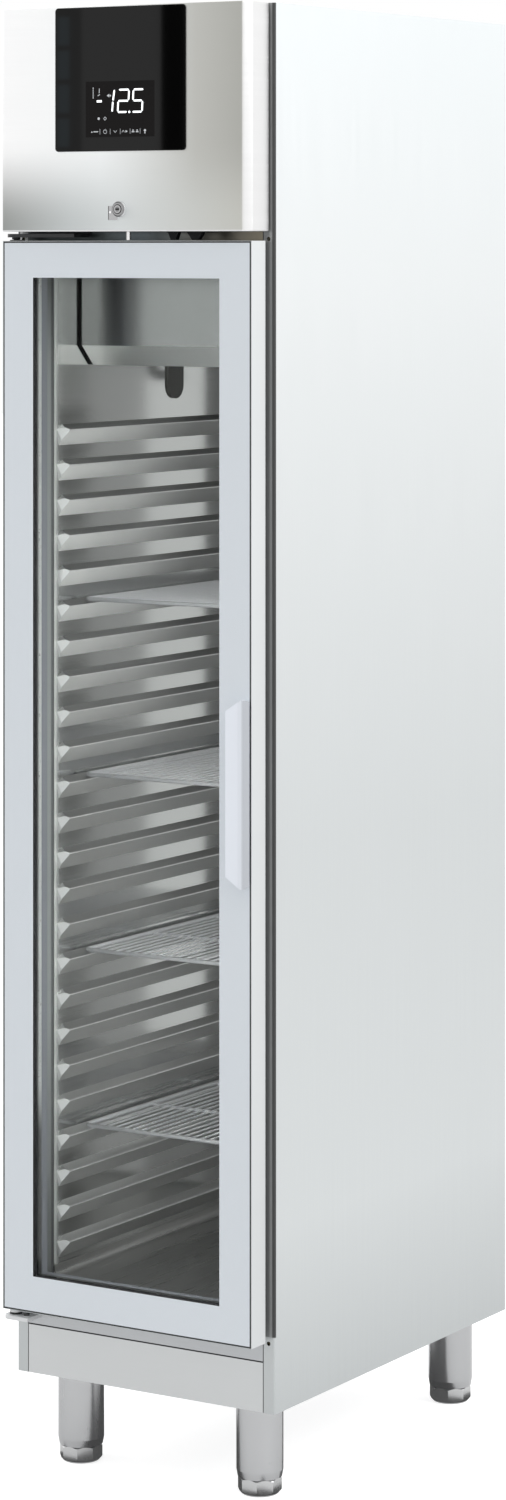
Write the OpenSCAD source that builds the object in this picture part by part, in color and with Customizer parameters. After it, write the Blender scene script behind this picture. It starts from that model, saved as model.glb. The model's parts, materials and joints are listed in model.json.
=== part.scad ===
// Upright glass door refrigerator on four levelling legs. One insulated cavity has pressed
// runners and wire shelves behind a double glazed door, and the cooling unit stands above it
// behind the control panel. Millimetres. The origin lies on the floor under the middle of the
// outline; +X is to the right, +Y to the back and +Z up, with the door on the -Y side.

/* [Cabinet] */
// Width over the side panels
cab_w = 432; // [430:1:440]
// Depth of the cabinet, without the door
cab_d = 666; // [660:1:680]
// Height of the cabinet, without the legs
cab_h = 1945; // [1940:1:1960]
// Free height under the cabinet
leg_clear = 133; // [125:1:150]
// Thickness of the outer steel sheet
sheet = 1.2; // [1:0.1:1.4]
// Thickness of the insulated side walls
wall = 46.5; // [46:0.5:50]
// Thickness of the insulated rear wall
rear_wall = 49; // [46:1:52]

/* [Cavity] */
// Height of the cavity floor above the underside of the cabinet
floor_z = 135; // [130:1:138]
// Height of the cavity ceiling above the underside of the cabinet
ceiling_z = 1585; // [1580:1:1590]
// Number of runners on each wall
runner_count = 24; // [20:1:24]
// Distance from one runner to the next
runner_pitch = 50.6; // [50:0.1:51]
// Height of the uppermost runner's top edge
runner_top = 1354; // [1350:1:1358]
// How far a runner stands out of the wall
runner_depth = 17; // [15:0.5:18]
// Height of one runner
runner_h = 30; // [28:1:32]
// Runners that carry the four wire shelves, counted from the top
shelf_levels = [5, 10, 15, 20];

/* [Wire shelves] */
// Width of a shelf
shelf_w = 325; // [323:1:327]
// Depth of a shelf
shelf_d = 530; // [520:1:535]
// Number of thin wires on a shelf
shelf_wires = 20; // [14:1:24]
// Distance from the cabinet front to the front of a shelf
shelf_y = 86.5; // [84:0.5:88]

/* [Door] */
// Width of the door
door_w = 416; // [414:1:418]
// Lower edge of the door above the underside of the cabinet
door_z0 = 100; // [98:1:102]
// Upper edge of the door
door_z1 = 1617; // [1615:1:1618]
// Thickness of the door without its gasket
door_t = 42; // [42:0.5:44]
// Space between the door and the cabinet, which the gasket fills
door_gap = 10; // [10:0.5:11]
// Width of the border round the clear window
door_border = 52; // [50:1:54]
// Thickness of each glass pane
pane = 4; // [4:0.5:5]

/* [Handle] */
// Length of the handle
handle_len = 263; // [240:1:280]
// Height of the handle's middle above the underside of the cabinet
handle_z = 860.5; // [800:1:900]
// Width of the handle's front face
handle_w = 27; // [25:1:30]
// How far the handle stands out of the glass
handle_out = 20; // [18:1:24]

/* [Control panel] */
// Width of the control panel
panel_w = 418; // [416:1:420]
// Lower edge of the control panel
panel_z0 = 1630; // [1630:1:1632]
// Distance from the cabinet front to the face of the panel
panel_out = 59.5; // [58:0.5:62]
// Width of the display glass
display_w = 217.5; // [200:0.5:220]
// Height of the display glass
display_h = 201.6; // [190:0.2:203]

/* [Legs] */
// Diameter of a leg tube
leg_d = 66; // [60:1:68]
// Visible height of a foot
foot_h = 24; // [22:1:30]
// Distance from the middle of the cabinet to a leg's axis
leg_x = 151; // [145:1:155]
// Distance from the cabinet front to the front legs' axis
leg_front_y = 66; // [60:1:70]
// Distance from the cabinet front to the rear legs' axis
leg_rear_y = 612; // [600:1:615]

/* [Hidden] */
$fn = 48;
cut = 1;

half_w = cab_w / 2;
door_front = door_gap + door_t;
front_y = -(cab_d - door_front - handle_out) / 2;

// Folded edges of the outer panels
bend_r = 2.5;
side_return = 18;
side_hem = 12;
rear_return = 15;
fit_gap = 0.2;
inner_x = half_w - sheet - fit_gap;
back_y = cab_d - 2 * sheet;
plinth_h = 69.4;
plinth_return = 16;
face_x = half_w - side_return - 0.4;
face_z0 = plinth_h + 1;
face_z1 = 1672;

// Cavity and its lining
liner_t = 1;
liner_x = half_w - wall;
liner_y1 = cab_d - rear_wall;
jamb_d = 24;
jamb_t = 5.6;
jamb_x = liner_x + 0.5;
jamb_z0 = floor_z - 0.5;
jamb_z1 = ceiling_z + 0.5;
foam_z0 = 72;
foam_z1 = panel_z0;
cove_r = 12;

// Runners pressed out of the side walls
runner_drop = 7;
runner_y0 = 31;
runner_y1 = 603;
runner_taper = 10;
runner_nose_r = 2;
runner_tip = -7;
runner_tip_top = 14;
runner_tip_low = 5;

// Cooling unit inside the cavity
cover_x = 165;
cover_y0 = 88;
cover_y1 = 560;
cover_z0 = 1437.5;
cover_chamfer = 29;
evap_fan_y = 205;
evap_fan_r = 84;
coil_end = 6;
blade_inset = 1.5;
drain_r = 8;
drain_y = 641;
drain_z = 1408;

// Unit above the cavity
deck_z = panel_z0 + 0.4;
deck_top = deck_z + sheet;
comp_x = -105;
comp_y = 545;
comp_r = 76;
comp_z = deck_top + 16;
cond_x0 = -50;
cond_x1 = 190;
cond_y0 = 42;
cond_y1 = 86;
cond_z0 = 1644;
cond_z1 = 1904;
cond_fan_x = (cond_x0 + cond_x1) / 2;
cond_fan_z = (cond_z0 + cond_z1) / 2;
cond_fan_r = 100;
cond_rows = 9;
cond_pitch = 24;
suction_x = -152;
suction_y = 420;
suction_z = 1720;
liquid_x = -120;
gland_x = 150;
gland_z = deck_top + 30;
gland_r = 8;

// Control panel and lock
panel_hw = panel_w / 2;
bevel_x = 9;
bevel_y = 13;
panel_t = 1.5;
panel_back = 4.7;
display_z1 = cab_h - 1.4;
display_z0 = display_z1 - display_h;
display_t = 1.5;
lock_z = 1661;
lock_r = 6;
crank_r = 10;
crank_pin_r = 2;
bolt_y = -39;
bolt_r = 3.5;
bolt_tip = door_z1 + 1;
sensor_x = 98;
running = 0.06;

// Necked lower end of a leg tube
neck = 1.8;
neck_h = 10;

// Hinges
pivot_x = -197;
pivot_y = -31;
upper_leaf_z = 1622;
lower_leaf_z = 86;
leaf_t = 5;
upper_pin_r = 4;
lower_pin_r = 5;
bush_r = 6.5;
bush_len = 24;
reverse_hole_x = 206;
reverse_hole_z = [96.7, 1619.4];

// Door: distances u run inwards from the door's outer edge
door_hw = door_w / 2;
glass_back = -door_front + pane;
profile_u = 20;
profile_t = 2;
frame_y0 = glass_back + 0.3;
frame_y1 = -door_gap - 0.2;
pvc_u0 = profile_u + 0.2;
rebate_u = door_border - 16;
pane_gap = 10.3;
inner_y0 = glass_back + pane_gap;
inner_y1 = inner_y0 + pane;
bead_t = 7.5;
bead_y1 = inner_y1 + bead_t;
gasket_u = 25;
handle_screw_x = 198;
handle_screw_z = [-80, 80];
// Drop of the handle's ends towards its free edge, and towards the glass
handle_slope = 19;
handle_fall = 6;

// Shelf height on a runner's sloping top, with the frame wire clear of it
frame_wire_r = 3;
thin_wire_r = 1.5;
shelf_gap = 0.3;
slope = atan(runner_drop / runner_depth);
wire_from_wall = liner_x - shelf_w / 2 + frame_wire_r;
shelf_lift = (frame_wire_r + shelf_gap) / cos(slope) - wire_from_wall * tan(slope);

steel = "#c9ccce";
inner_steel = "#b9bbba";
white = "#eef0f1";
dark = "#26282a";
copper = "#b8744a";

function unit(v) = v / norm(v);
function sweep_angle(a) = a > 180 ? a - 360 : a < -180 ? a + 360 : a;
function runner_z(n) = runner_top - n * runner_pitch;

// Place of a coil's tube t in its pattern, in pitches from the middle
function tube_place(t, rows, cols) =
  let (row = floor(t / cols), step = t % cols)
  [(row % 2 == 0 ? step : cols - 1 - step) - (cols - 1) / 2, row - (rows - 1) / 2];

// Arc of radius r that rounds the corner p between its neighbours a and b
function fillet(a, p, b, r, steps = 6) =
  let (
    u = unit(a - p),
    v = unit(b - p),
    half = acos(u * v) / 2,
    c = p + unit(u + v) * r / sin(half),
    start = p + u * r / tan(half) - c,
    end = p + v * r / tan(half) - c,
    from = atan2(start.y, start.x),
    turn = sweep_angle(atan2(end.y, end.x) - from)
  )
  [for (i = [0:steps]) c + r * [cos(from + turn * i / steps), sin(from + turn * i / steps)]];

// Outline through the points, each corner rounded by its own radius
function rounded(pts, radii) =
  let (n = len(pts))
  [for (i = [0:n - 1]) each radii[i] > 0
    ? fillet(pts[(i + n - 1) % n], pts[i], pts[(i + 1) % n], radii[i])
    : [pts[i]]];

// Everything is drawn from the cabinet's front face and underside, then put in place
module place() translate([0, front_y, leg_clear]) children();

// Box between two corners
module block(lo, hi) translate(lo) cube(hi - lo);

// Outline in X and Z, thickened from y0 to y1
module slab_y(y0, y1) translate([0, y1, 0]) rotate([90, 0, 0]) linear_extrude(y1 - y0) children();

// Outline in Y and Z, thickened from x0 to x1
module slab_x(x0, x1) translate([x0, 0, 0]) rotate([90, 0, 90]) linear_extrude(x1 - x0) children();

// Outline in X and Y, thickened from z0 to z1
module slab_z(z0, z1) translate([0, 0, z0]) linear_extrude(z1 - z0) children();

module bar_x(y, z, r, x0, x1) translate([x0, y, z]) rotate([0, 90, 0]) cylinder(r = r, h = x1 - x0);
module bar_y(x, z, r, y0, y1) translate([x, y1, z]) rotate([90, 0, 0]) cylinder(r = r, h = y1 - y0);
module bar_z(x, y, r, z0, z1) translate([x, y, z0]) cylinder(r = r, h = z1 - z0);

// Rectangular frame in X and Z, between the insets u0 and u1 of an outline
module frame_y(hw, z0, z1, u0, u1, y0, y1) difference() {
  block([-hw + u0, y0, z0 + u0], [hw - u0, y1, z1 - u0]);
  block([-hw + u1, y0 - cut, z0 + u1], [hw - u1, y1 + cut, z1 - u1]);
}

module door_ring(u0, u1, y0, y1) frame_y(door_hw, door_z0, door_z1, u0, u1, y0, y1);

// Slot with round ends, centred, long side first
module obround(len, w) {
  square([len - w, w], center = true);
  for (s = [-1, 1]) translate([s * (len - w) / 2, 0]) circle(w / 2);
}

module rounded_rect(w, h, r) {
  square([w - 2 * r, h], center = true);
  square([w, h - 2 * r], center = true);
  for (x = [-1, 1], y = [-1, 1]) translate([x * (w / 2 - r), y * (h / 2 - r)]) circle(r);
}

// Places its children with local +X, +Y and +Z along the three given directions
module aligned(x, y, z, at) multmatrix([
  [x.x, y.x, z.x, at.x],
  [x.y, y.y, z.y, at.y],
  [x.z, y.z, z.z, at.z],
  [0, 0, 0, 1]
]) children();

// Pipe along square corners, each bent to the given radius
module pipe(pts, r, bend) {
  last = len(pts) - 1;
  for (i = [0:last - 1]) {
    d = unit(pts[i + 1] - pts[i]);
    start = pts[i] + (i > 0 ? bend * d : [0, 0, 0]);
    end = pts[i + 1] - (i < last - 1 ? bend * d : [0, 0, 0]);
    side = abs(d.z) > 0.5 ? [1, 0, 0] : [0, 0, 1];
    aligned(side, cross(d, side), d, start) cylinder(r = r, h = norm(end - start));
  }
  if (last > 1) for (i = [1:last - 1]) {
    a = unit(pts[i] - pts[i - 1]);
    b = unit(pts[i + 1] - pts[i]);
    aligned(-b, a, cross(a, b), pts[i] - bend * a + bend * b)
      rotate_extrude(angle = 90) translate([bend, 0]) circle(r);
  }
}

// Axial fan about Z: hub, shaft and pitched blades
module fan(r, hub_r, depth, blades, pitch, shaft_r, shaft_len) {
  cylinder(r = hub_r, h = depth);
  for (i = [0:blades - 1]) rotate(i * 360 / blades) intersection() {
    translate([0, 0, blade_inset]) difference() {
      cylinder(r = r, h = depth - 2 * blade_inset);
      translate([0, 0, -cut]) cylinder(r = hub_r - cut, h = depth + 2 * cut);
    }
    translate([0, 0, depth / 2]) rotate([pitch, 0, 0]) block([0, -1, -depth], [r + cut, 1, depth]);
  }
  translate([0, 0, depth]) cylinder(r = shaft_r, h = shaft_len);
}

// Finned coil: upright fins across X, and one tube that runs to and fro through them, row by
// row from the lowest, with return bends outside the end fins
module coil(x0, x1, fins, y, z, rows, cols, pitch, tube_r) {
  hy = cols * pitch / 2;
  hz = rows * pitch / 2;
  for (i = [0:fins - 1]) {
    x = x0 + i * (x1 - x0) / (fins - 1);
    block([x - 0.5, y - hy, z - hz], [x + 0.5, y + hy, z + hz]);
  }
  for (t = [0:rows * cols - 1]) {
    p = tube_place(t, rows, cols);
    bar_x(y + p.x * pitch, z + p.y * pitch, tube_r, x0 - coil_end, x1 + coil_end);
    if (t < rows * cols - 1) {
      q = tube_place(t + 1, rows, cols);
      out = t % 2 == 0 ? 1 : -1;
      step = [0, q.x - p.x, q.y - p.y];
      middle = [out > 0 ? x1 + coil_end : x0 - coil_end,
        y + (p.x + q.x) * pitch / 2, z + (p.y + q.y) * pitch / 2];
      aligned(step, [out, 0, 0], cross(step, [out, 0, 0]), middle)
        rotate_extrude(angle = 180) translate([pitch / 2, 0]) circle(tube_r);
    }
  }
}

// Section of a side panel with its rounded front edge and returns
module side_section() {
  translate([half_w - sheet, bend_r]) square([sheet, cab_d - bend_r]);
  translate([half_w - side_return, 0]) square([side_return - bend_r, sheet]);
  translate([half_w - side_return, 0]) square([sheet, side_hem]);
  translate([half_w - rear_return, cab_d - sheet]) square([rear_return, sheet]);
  translate([half_w - bend_r, bend_r]) intersection() {
    difference() {
      circle(bend_r);
      circle(bend_r - sheet);
    }
    translate([0, -bend_r]) square(bend_r);
  }
}

// Side panel; its returns end below the top cover
module side_panel() difference() {
  linear_extrude(cab_h) side_section();
  block([0, -cut, cab_h - sheet - fit_gap], [half_w - sheet, cab_d - sheet, cab_h + cut]);
  for (z = reverse_hole_z) bar_y(reverse_hole_x, z, 3, -cut, sheet + cut);
}

module right_side_panel() color(steel) place() side_panel();

module left_side_panel() color(steel) place() mirror([1, 0, 0]) side_panel();

module back_panel() color(steel) place()
  block([-inner_x, back_y, 0], [inner_x, back_y + sheet, panel_z0]);

module rear_grille() color(steel) place() difference() {
  block([-inner_x, back_y, panel_z0 + 1], [inner_x, back_y + sheet, cab_h - sheet - fit_gap]);
  slab_y(back_y - cut, back_y + sheet + cut)
    for (col = [-1, 1], row = [0:10]) translate([col * 100, panel_z0 + 90 + row * 18]) obround(150, 7);
  bar_y(gland_x, gland_z, gland_r, back_y - cut, back_y + sheet + cut);
}

module top_cover() color(steel) place() difference() {
  z = cab_h - sheet;
  union() {
    block([-inner_x, 0, z], [inner_x, back_y + sheet, cab_h]);
    block([-face_x, 0, z - 14], [face_x, sheet, z]);
  }
  slab_z(z - cut, cab_h + cut)
    for (col = [-1, 1], row = [0:11]) translate([col * 95, 260 + row * 24]) obround(140, 8);
}

module base_panel() color(steel) place() difference() {
  union() {
    block([-inner_x, plinth_return + fit_gap, 0], [inner_x, back_y - fit_gap, sheet]);
    block([-inner_x, plinth_return + fit_gap, sheet], [inner_x, plinth_return + fit_gap + sheet, 14]);
    block([-inner_x, back_y - fit_gap - sheet, sheet], [inner_x, back_y - fit_gap, 14]);
  }
  for (x = [-leg_x, leg_x], y = [leg_front_y, leg_rear_y]) bar_z(x, y, 5, -cut, sheet + cut);
}

module plinth_front() color(steel) place() slab_x(-face_x, face_x) difference() {
  square([plinth_return, plinth_h]);
  translate([sheet, sheet]) square([plinth_return, plinth_h - 2 * sheet]);
}

module face_frame() color(steel) place() difference() {
  union() {
    block([-face_x, 0, face_z0], [face_x, sheet, face_z1]);
    block([-face_x, 0, face_z0], [face_x, 10, face_z0 + sheet]);
  }
  block([-jamb_x - jamb_t - fit_gap, -cut, jamb_z0 - jamb_t - fit_gap],
    [jamb_x + jamb_t + fit_gap, sheet + cut, jamb_z1 + jamb_t + fit_gap]);
  hinge_screw_axes() bar_y(0, 0, 2, -cut, sheet + cut);
}

// Plastic thermal break between the face frame and the liner
module breaker_frame() color("#6d747c") place() {
  hw = jamb_x + jamb_t;
  z0 = jamb_z0 - jamb_t;
  z1 = jamb_z1 + jamb_t;
  frame_y(hw, z0, z1, 0, jamb_t, 0, jamb_d);
  frame_y(hw, z0, z1, -12, 0, sheet + fit_gap, sheet + fit_gap + 3);
}

module insulation_foam() color("#e8d9a0") place() difference() {
  block([-inner_x, side_hem + fit_gap, foam_z0], [inner_x, back_y - fit_gap, foam_z1]);
  hw = jamb_x + jamb_t + fit_gap;
  block([-hw, 0, jamb_z0 - jamb_t - fit_gap], [hw, jamb_d + fit_gap, jamb_z1 + jamb_t + fit_gap]);
  block([-liner_x - liner_t, jamb_d, floor_z - liner_t],
    [liner_x + liner_t, liner_y1 + liner_t, ceiling_z + liner_t]);
  pipe([[0, liner_y1, drain_z], [0, drain_y, drain_z], [0, drain_y, foam_z0 - cut]],
    drain_r + fit_gap, 15);
  bar_z(suction_x, suction_y, 6, ceiling_z, foam_z1 + cut);
  bar_z(suction_x, suction_y + 40, 3, ceiling_z, foam_z1 + cut);
}

module machine_deck() color(steel) place() difference() {
  block([-inner_x, side_hem + fit_gap, deck_z], [inner_x, back_y - fit_gap, deck_top]);
  bar_z(suction_x, suction_y, 6, deck_z - cut, deck_top + cut);
  bar_z(suction_x, suction_y + 40, 3, deck_z - cut, deck_top + cut);
}

module liner_side() block([liner_x, jamb_d + fit_gap, floor_z - liner_t],
  [liner_x + liner_t, liner_y1, ceiling_z]);

module liner_right() color(inner_steel) place() liner_side();

module liner_left() color(inner_steel) place() mirror([1, 0, 0]) liner_side();

// Rear wall and ceiling of the cavity, folded from one sheet
module liner_back() color(inner_steel) place() difference() {
  hw = liner_x + liner_t;
  union() {
    block([-hw, liner_y1, floor_z - liner_t], [hw, liner_y1 + liner_t, ceiling_z + liner_t]);
    block([-hw, jamb_d + fit_gap, ceiling_z], [hw, liner_y1, ceiling_z + liner_t]);
  }
  bar_y(0, drain_z, drain_r + fit_gap, liner_y1 - cut, liner_y1 + liner_t + cut);
  bar_z(suction_x, suction_y, 6, ceiling_z - cut, ceiling_z + liner_t + cut);
  bar_z(suction_x, suction_y + 40, 3, ceiling_z - cut, ceiling_z + liner_t + cut);
}

// Floor pan with coved edges against the side walls
module liner_floor() color(inner_steel) place() {
  hw = liner_x - fit_gap;
  top = 18;
  translate([0, liner_y1 - fit_gap, floor_z - liner_t]) rotate([90, 0, 0])
    linear_extrude(liner_y1 - jamb_d - 2 * fit_gap) difference() {
      polygon(rounded([[-hw, 0], [hw, 0], [hw, top], [-hw, top]], [cove_r, cove_r, 0, 0]));
      polygon(rounded([[-hw + liner_t, liner_t], [hw - liner_t, liner_t],
        [hw - liner_t, top + cut], [-hw + liner_t, top + cut]],
        [cove_r - liner_t, cove_r - liner_t, 0, 0]));
    }
}

// One runner on a wall at X = 0: a pressed ridge with a sloping top, rounded nose and pointed
// ends, hollow behind
module runner() difference() {
  intersection() {
    slab_y(runner_y0, runner_y1)
      polygon(rounded([[0, 0], [runner_depth, -runner_drop], [0, -runner_h]], [0, runner_nose_r, 0]));
    slab_z(-runner_h, 0) polygon([
      [0, runner_y0], [runner_depth, runner_y0 + runner_taper],
      [runner_depth, runner_y1 - runner_taper], [0, runner_y1]
    ]);
    slab_x(0, runner_depth) polygon([
      [runner_y0, runner_tip], [runner_y0 + runner_tip_top, 0], [runner_y1 - runner_tip_top, 0],
      [runner_y1, runner_tip], [runner_y1 - runner_tip_low, -runner_h],
      [runner_y0 + runner_tip_low, -runner_h]
    ]);
  }
  slab_y(runner_y0 + runner_tip_top, runner_y1 - runner_tip_top) polygon([
    [-cut, -1.1], [0, -1.1], [runner_depth - 2.5, -runner_drop - 0.1],
    [0, -runner_h + 1.7], [-cut, -runner_h + 1.7]
  ]);
}

module runners() color(inner_steel) place() for (n = [0:runner_count - 1], side = [0, 1])
  mirror([side, 0, 0]) translate([-liner_x, 0, runner_z(n)]) runner();

// Light channel with its diffuser, on the right jamb
module led_strip() color("white") place() {
  slab_z(280, 1400) polygon(rounded([
    [jamb_x, 4], [jamb_x, 20], [jamb_x - 2, 20], [jamb_x - 5, 17], [jamb_x - 5, 7], [jamb_x - 2, 4]
  ], [0, 0, 0, 1.5, 1.5, 0]));
}

module air_probe_cover() color(dark) place()
  translate([-liner_x, 0, 0]) slab_x(0, 3.5) translate([340, 1422]) rotate(90) obround(80, 41);

module evaporator_cover() color(inner_steel) place() {
  t = sheet;
  top = ceiling_z - 0.5;
  outer = [
    [cover_y0, top], [cover_y0, cover_z0 + cover_chamfer], [cover_y0 + cover_chamfer, cover_z0],
    [cover_y1, cover_z0], [cover_y1, cover_z0 + 25]
  ];
  difference() {
    union() {
      slab_x(-cover_x, cover_x) difference() {
        polygon(concat(outer, [[cover_y1 - t, cover_z0 + 25], [cover_y1 - t, cover_z0 + t],
          [cover_y0 + cover_chamfer + t / 2, cover_z0 + t],
          [cover_y0 + t, cover_z0 + cover_chamfer + t / 2], [cover_y0 + t, top]]));
      }
      for (s = [-1, 1]) slab_x(s > 0 ? cover_x - t : -cover_x, s > 0 ? cover_x : -cover_x + t)
        polygon(concat(outer, [[cover_y1, top]]));
    }
    bar_z(0, evap_fan_y, evap_fan_r + 3, cover_z0 - cut, cover_z0 + t + cut);
    bar_z(0, cover_y1 - 20, drain_r - 1, cover_z0 - cut, cover_z0 + t + cut);
  }
}

module evaporator_coil() color(copper) place()
  coil(-135, 135, 19, 400, 1512, 3, 5, 30, 5);

module evaporator_fan() color(dark) place()
  translate([0, evap_fan_y, cover_z0 + 8]) fan(evap_fan_r - 4, 22, 20, 5, 55, 3, 18);

// Motor held over the fan by its wire guard
module evaporator_fan_motor() color(dark) place() translate([0, evap_fan_y, 0]) {
  guard_z = cover_z0 + 3.3;
  motor_z = cover_z0 + 34;
  difference() {
    translate([0, 0, motor_z]) cylinder(r = 30, h = 40);
    translate([0, 0, motor_z - cut]) cylinder(r = 3 + running, h = 20);
  }
  for (r = [evap_fan_r - 2, evap_fan_r - 22, evap_fan_r - 42, evap_fan_r - 62])
    translate([0, 0, guard_z]) rotate_extrude() translate([r, 0]) circle(1.5);
  for (a = [45:90:315]) rotate(a) {
    bar_x(0, guard_z, 2, 15, evap_fan_r + 12);
    bar_z(evap_fan_r + 10, 0, 2, guard_z, motor_z + 30);
    bar_x(0, motor_z + 30, 2, 25, evap_fan_r + 12);
  }
}

// Drain from the cover, back through the rear wall and down inside the insulation
module drain_pipe() color(dark) place() difference() {
  y = cover_y1 - 20;
  pipe([[0, y, cover_z0], [0, y, drain_z], [0, drain_y, drain_z], [0, drain_y, 44]], drain_r, 15);
  bar_z(0, drain_y, drain_r - 1.5, 40, 300);
  bar_z(0, y, drain_r - 1.5, cover_z0 - 10, cover_z0 + cut);
}

module condensate_tray() color(dark) place() difference() {
  block([-110, 470, sheet], [110, 650, 38]);
  block([-108, 472, sheet + 2], [108, 648, 39]);
}

// Hermetic compressor: two welded shell halves on a foot plate with rubber grommets
module compressor() color(dark) place() translate([comp_x, comp_y, comp_z]) {
  rotate_extrude() intersection() {
    union() {
      translate([0, 8]) square([comp_r - 3, 70]);
      translate([0, 66]) square([comp_r, 6]);
      translate([0, 66]) square([comp_r - 6, 40]);
      intersection() {
        translate([0, 100]) square([comp_r, 60]);
        translate([0, 60]) circle(95);
      }
    }
    square([comp_r, 160]);
    translate([0, 78]) circle(105);
  }
  block([-82, -56, 5], [82, 56, 8]);
  for (x = [-70, 70], y = [-42, 42]) {
    bar_z(x, y, 10, -16, 6);
    bar_z(x, y, 9, 7, 11);
  }
  block([comp_r - 6, -22, 30], [comp_r + 22, 22, 76]);
  bar_y(suction_x - comp_x, suction_z - comp_z, 7, -80, -30);
  bar_y(0, 60, 6, -comp_r - 12, -comp_r + 6);
}

module condenser_coil() color(copper) place()
  coil(cond_x0, cond_x1, 25, (cond_y0 + cond_y1) / 2, cond_fan_z, cond_rows, 2, cond_pitch, 4.5);

module condenser_shroud() color(dark) place() difference() {
  block([cond_x0 - 2, cond_y1 - 3, deck_top], [cond_x1 + 2, cond_y1 + 32, cond_z1 + 6]);
  block([cond_x0 - 0.5, cond_y1 - 7, deck_top + 1.5], [cond_x1 + 0.5, cond_y1 + 30, cond_z1 + 4.5]);
  bar_y(cond_fan_x, cond_fan_z, cond_fan_r + 4, cond_y1, cond_y1 + 40);
}

module condenser_fan() color(dark) place()
  translate([cond_fan_x, cond_y1 + 14, cond_fan_z]) rotate([-90, 0, 0])
    fan(cond_fan_r, 26, 24, 6, 60, 4, 16);

module condenser_fan_motor() color(dark) place() {
  y = cond_y1 + 42;
  difference() {
    bar_y(cond_fan_x, cond_fan_z, 38, y, y + 52);
    bar_y(cond_fan_x, cond_fan_z, 4 + running, y - cut, y + 20);
  }
  for (a = [45:90:315]) translate([cond_fan_x, 0, cond_fan_z]) rotate([0, a, 0]) {
    block([34, y + 2, -4], [cond_fan_r + 14, y + 5, 4]);
    block([cond_fan_r + 6, cond_y1 + 32, -4], [cond_fan_r + 14, y + 2, 4]);
  }
}

// Suction, discharge and liquid lines with the filter drier
module refrigerant_pipes() color(copper) place() {
  middle_y = (cond_y0 + cond_y1) / 2;
  in_y = middle_y + cond_pitch / 2;
  out_y = middle_y - cond_pitch / 2;
  top_z = cond_fan_z + (cond_rows - 1) * cond_pitch / 2;
  low_z = cond_fan_z - (cond_rows - 1) * cond_pitch / 2;
  end_x = cond_x0 - coil_end;
  pipe([[suction_x, suction_y, 1590], [suction_x, suction_y, suction_z],
    [suction_x, comp_y - 80, suction_z]], 5, 20);
  pipe([[comp_x, comp_y - comp_r - 12, comp_z + 60], [comp_x, 300, comp_z + 60],
    [comp_x, 300, top_z], [comp_x, in_y, top_z], [end_x, in_y, top_z]], 4.5, 20);
  pipe([[end_x, out_y, low_z], [liquid_x, out_y, low_z], [liquid_x, 100, low_z]], 4.5, 20);
  bar_y(liquid_x, low_z, 11, 100, 190);
  pipe([[liquid_x, 190, low_z], [liquid_x, 260, low_z], [suction_x, 260, low_z],
    [suction_x, suction_y + 40, low_z], [suction_x, suction_y + 40, 1590]], 2, 10);
}

// Electrical box with its lid, and the mains cable gland through the rear grille
module control_box() color("#3a3d40") place() {
  block([70, 500, deck_top], [200, 620, deck_top + 62]);
  block([68, 498, deck_top + 62], [202, 622, deck_top + 74]);
  bar_y(gland_x, gland_z, gland_r - 0.3, 620, cab_d - 0.5);
  translate([gland_x, back_y - 7, gland_z]) rotate([90, 0, 0]) cylinder(r = 13, h = 6, $fn = 6);
}

// Plan outline of the control panel, drawn t inside its outer faces: the front corners are
// bevelled and the back lies at y1
module panel_plan(t, y1) {
  turn = atan2(bevel_y, bevel_x);
  x = panel_hw - bevel_x - t * tan(turn / 2);
  y = -panel_out + bevel_y + t * tan((90 - turn) / 2);
  polygon([
    [t - panel_hw, y1], [t - panel_hw, y], [-x, t - panel_out],
    [x, t - panel_out], [panel_hw - t, y], [panel_hw - t, y1]
  ]);
}

module control_panel() color(steel) place() difference() {
  t = panel_t;
  union() {
    slab_z(panel_z0, cab_h) difference() {
      panel_plan(0, -panel_back);
      panel_plan(t, -panel_back - t);
      translate([-panel_hw + 14, -panel_back - 2 * t]) square([2 * panel_hw - 28, 3 * t]);
    }
    for (z = [panel_z0, cab_h - t])
      slab_z(z, z + t) panel_plan(t / 2, -panel_back);
  }
  block([-57.5, -panel_out - cut, 1762], [57.5, -panel_out + 2 * t, 1840]);
  bar_y(0, lock_z, 9.6, -panel_out - cut, -panel_out + 2 * t);
  bar_z(0, bolt_y, bolt_r + running, panel_z0 - cut, panel_z0 + 2 * t);
}

module display_glass() color("#101214") place() translate([0, 0, (display_z0 + display_z1) / 2])
  slab_y(-panel_out - display_t, -panel_out) rounded_rect(display_w, display_h, 5);

module controller_module() color(dark) place() {
  block([-57, -panel_out, 1762.5], [57, -panel_out + 12, 1839.5]);
  block([-64, -panel_out + panel_t, 1756], [64, -panel_out + 4, 1846]);
  block([-52, -panel_out + 12, 1768], [52, -panel_out + 34, 1834]);
}

// Reed switch and its strike: two tapered prongs on one base under the control panel
module door_sensor() color(dark) place() translate([sensor_x, 0, door_z1 + 1.2]) {
  h = panel_z0 - door_z1 - 1.2;
  base = h - 1.5;
  difference() {
    union() {
      block([-31, -44, base], [31, -12, h]);
      slab_y(-44, -36) {
        polygon([[-24.3, 0], [-16, 0], [-11.6, base + cut], [-29.3, base + cut]]);
        polygon([[10.8, 0], [20.8, 0], [28.7, base + cut], [1.8, base + cut]]);
      }
    }
    for (x = [-20, 20]) bar_z(x, -22, 1.8, base - cut, h + cut);
  }
}

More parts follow.
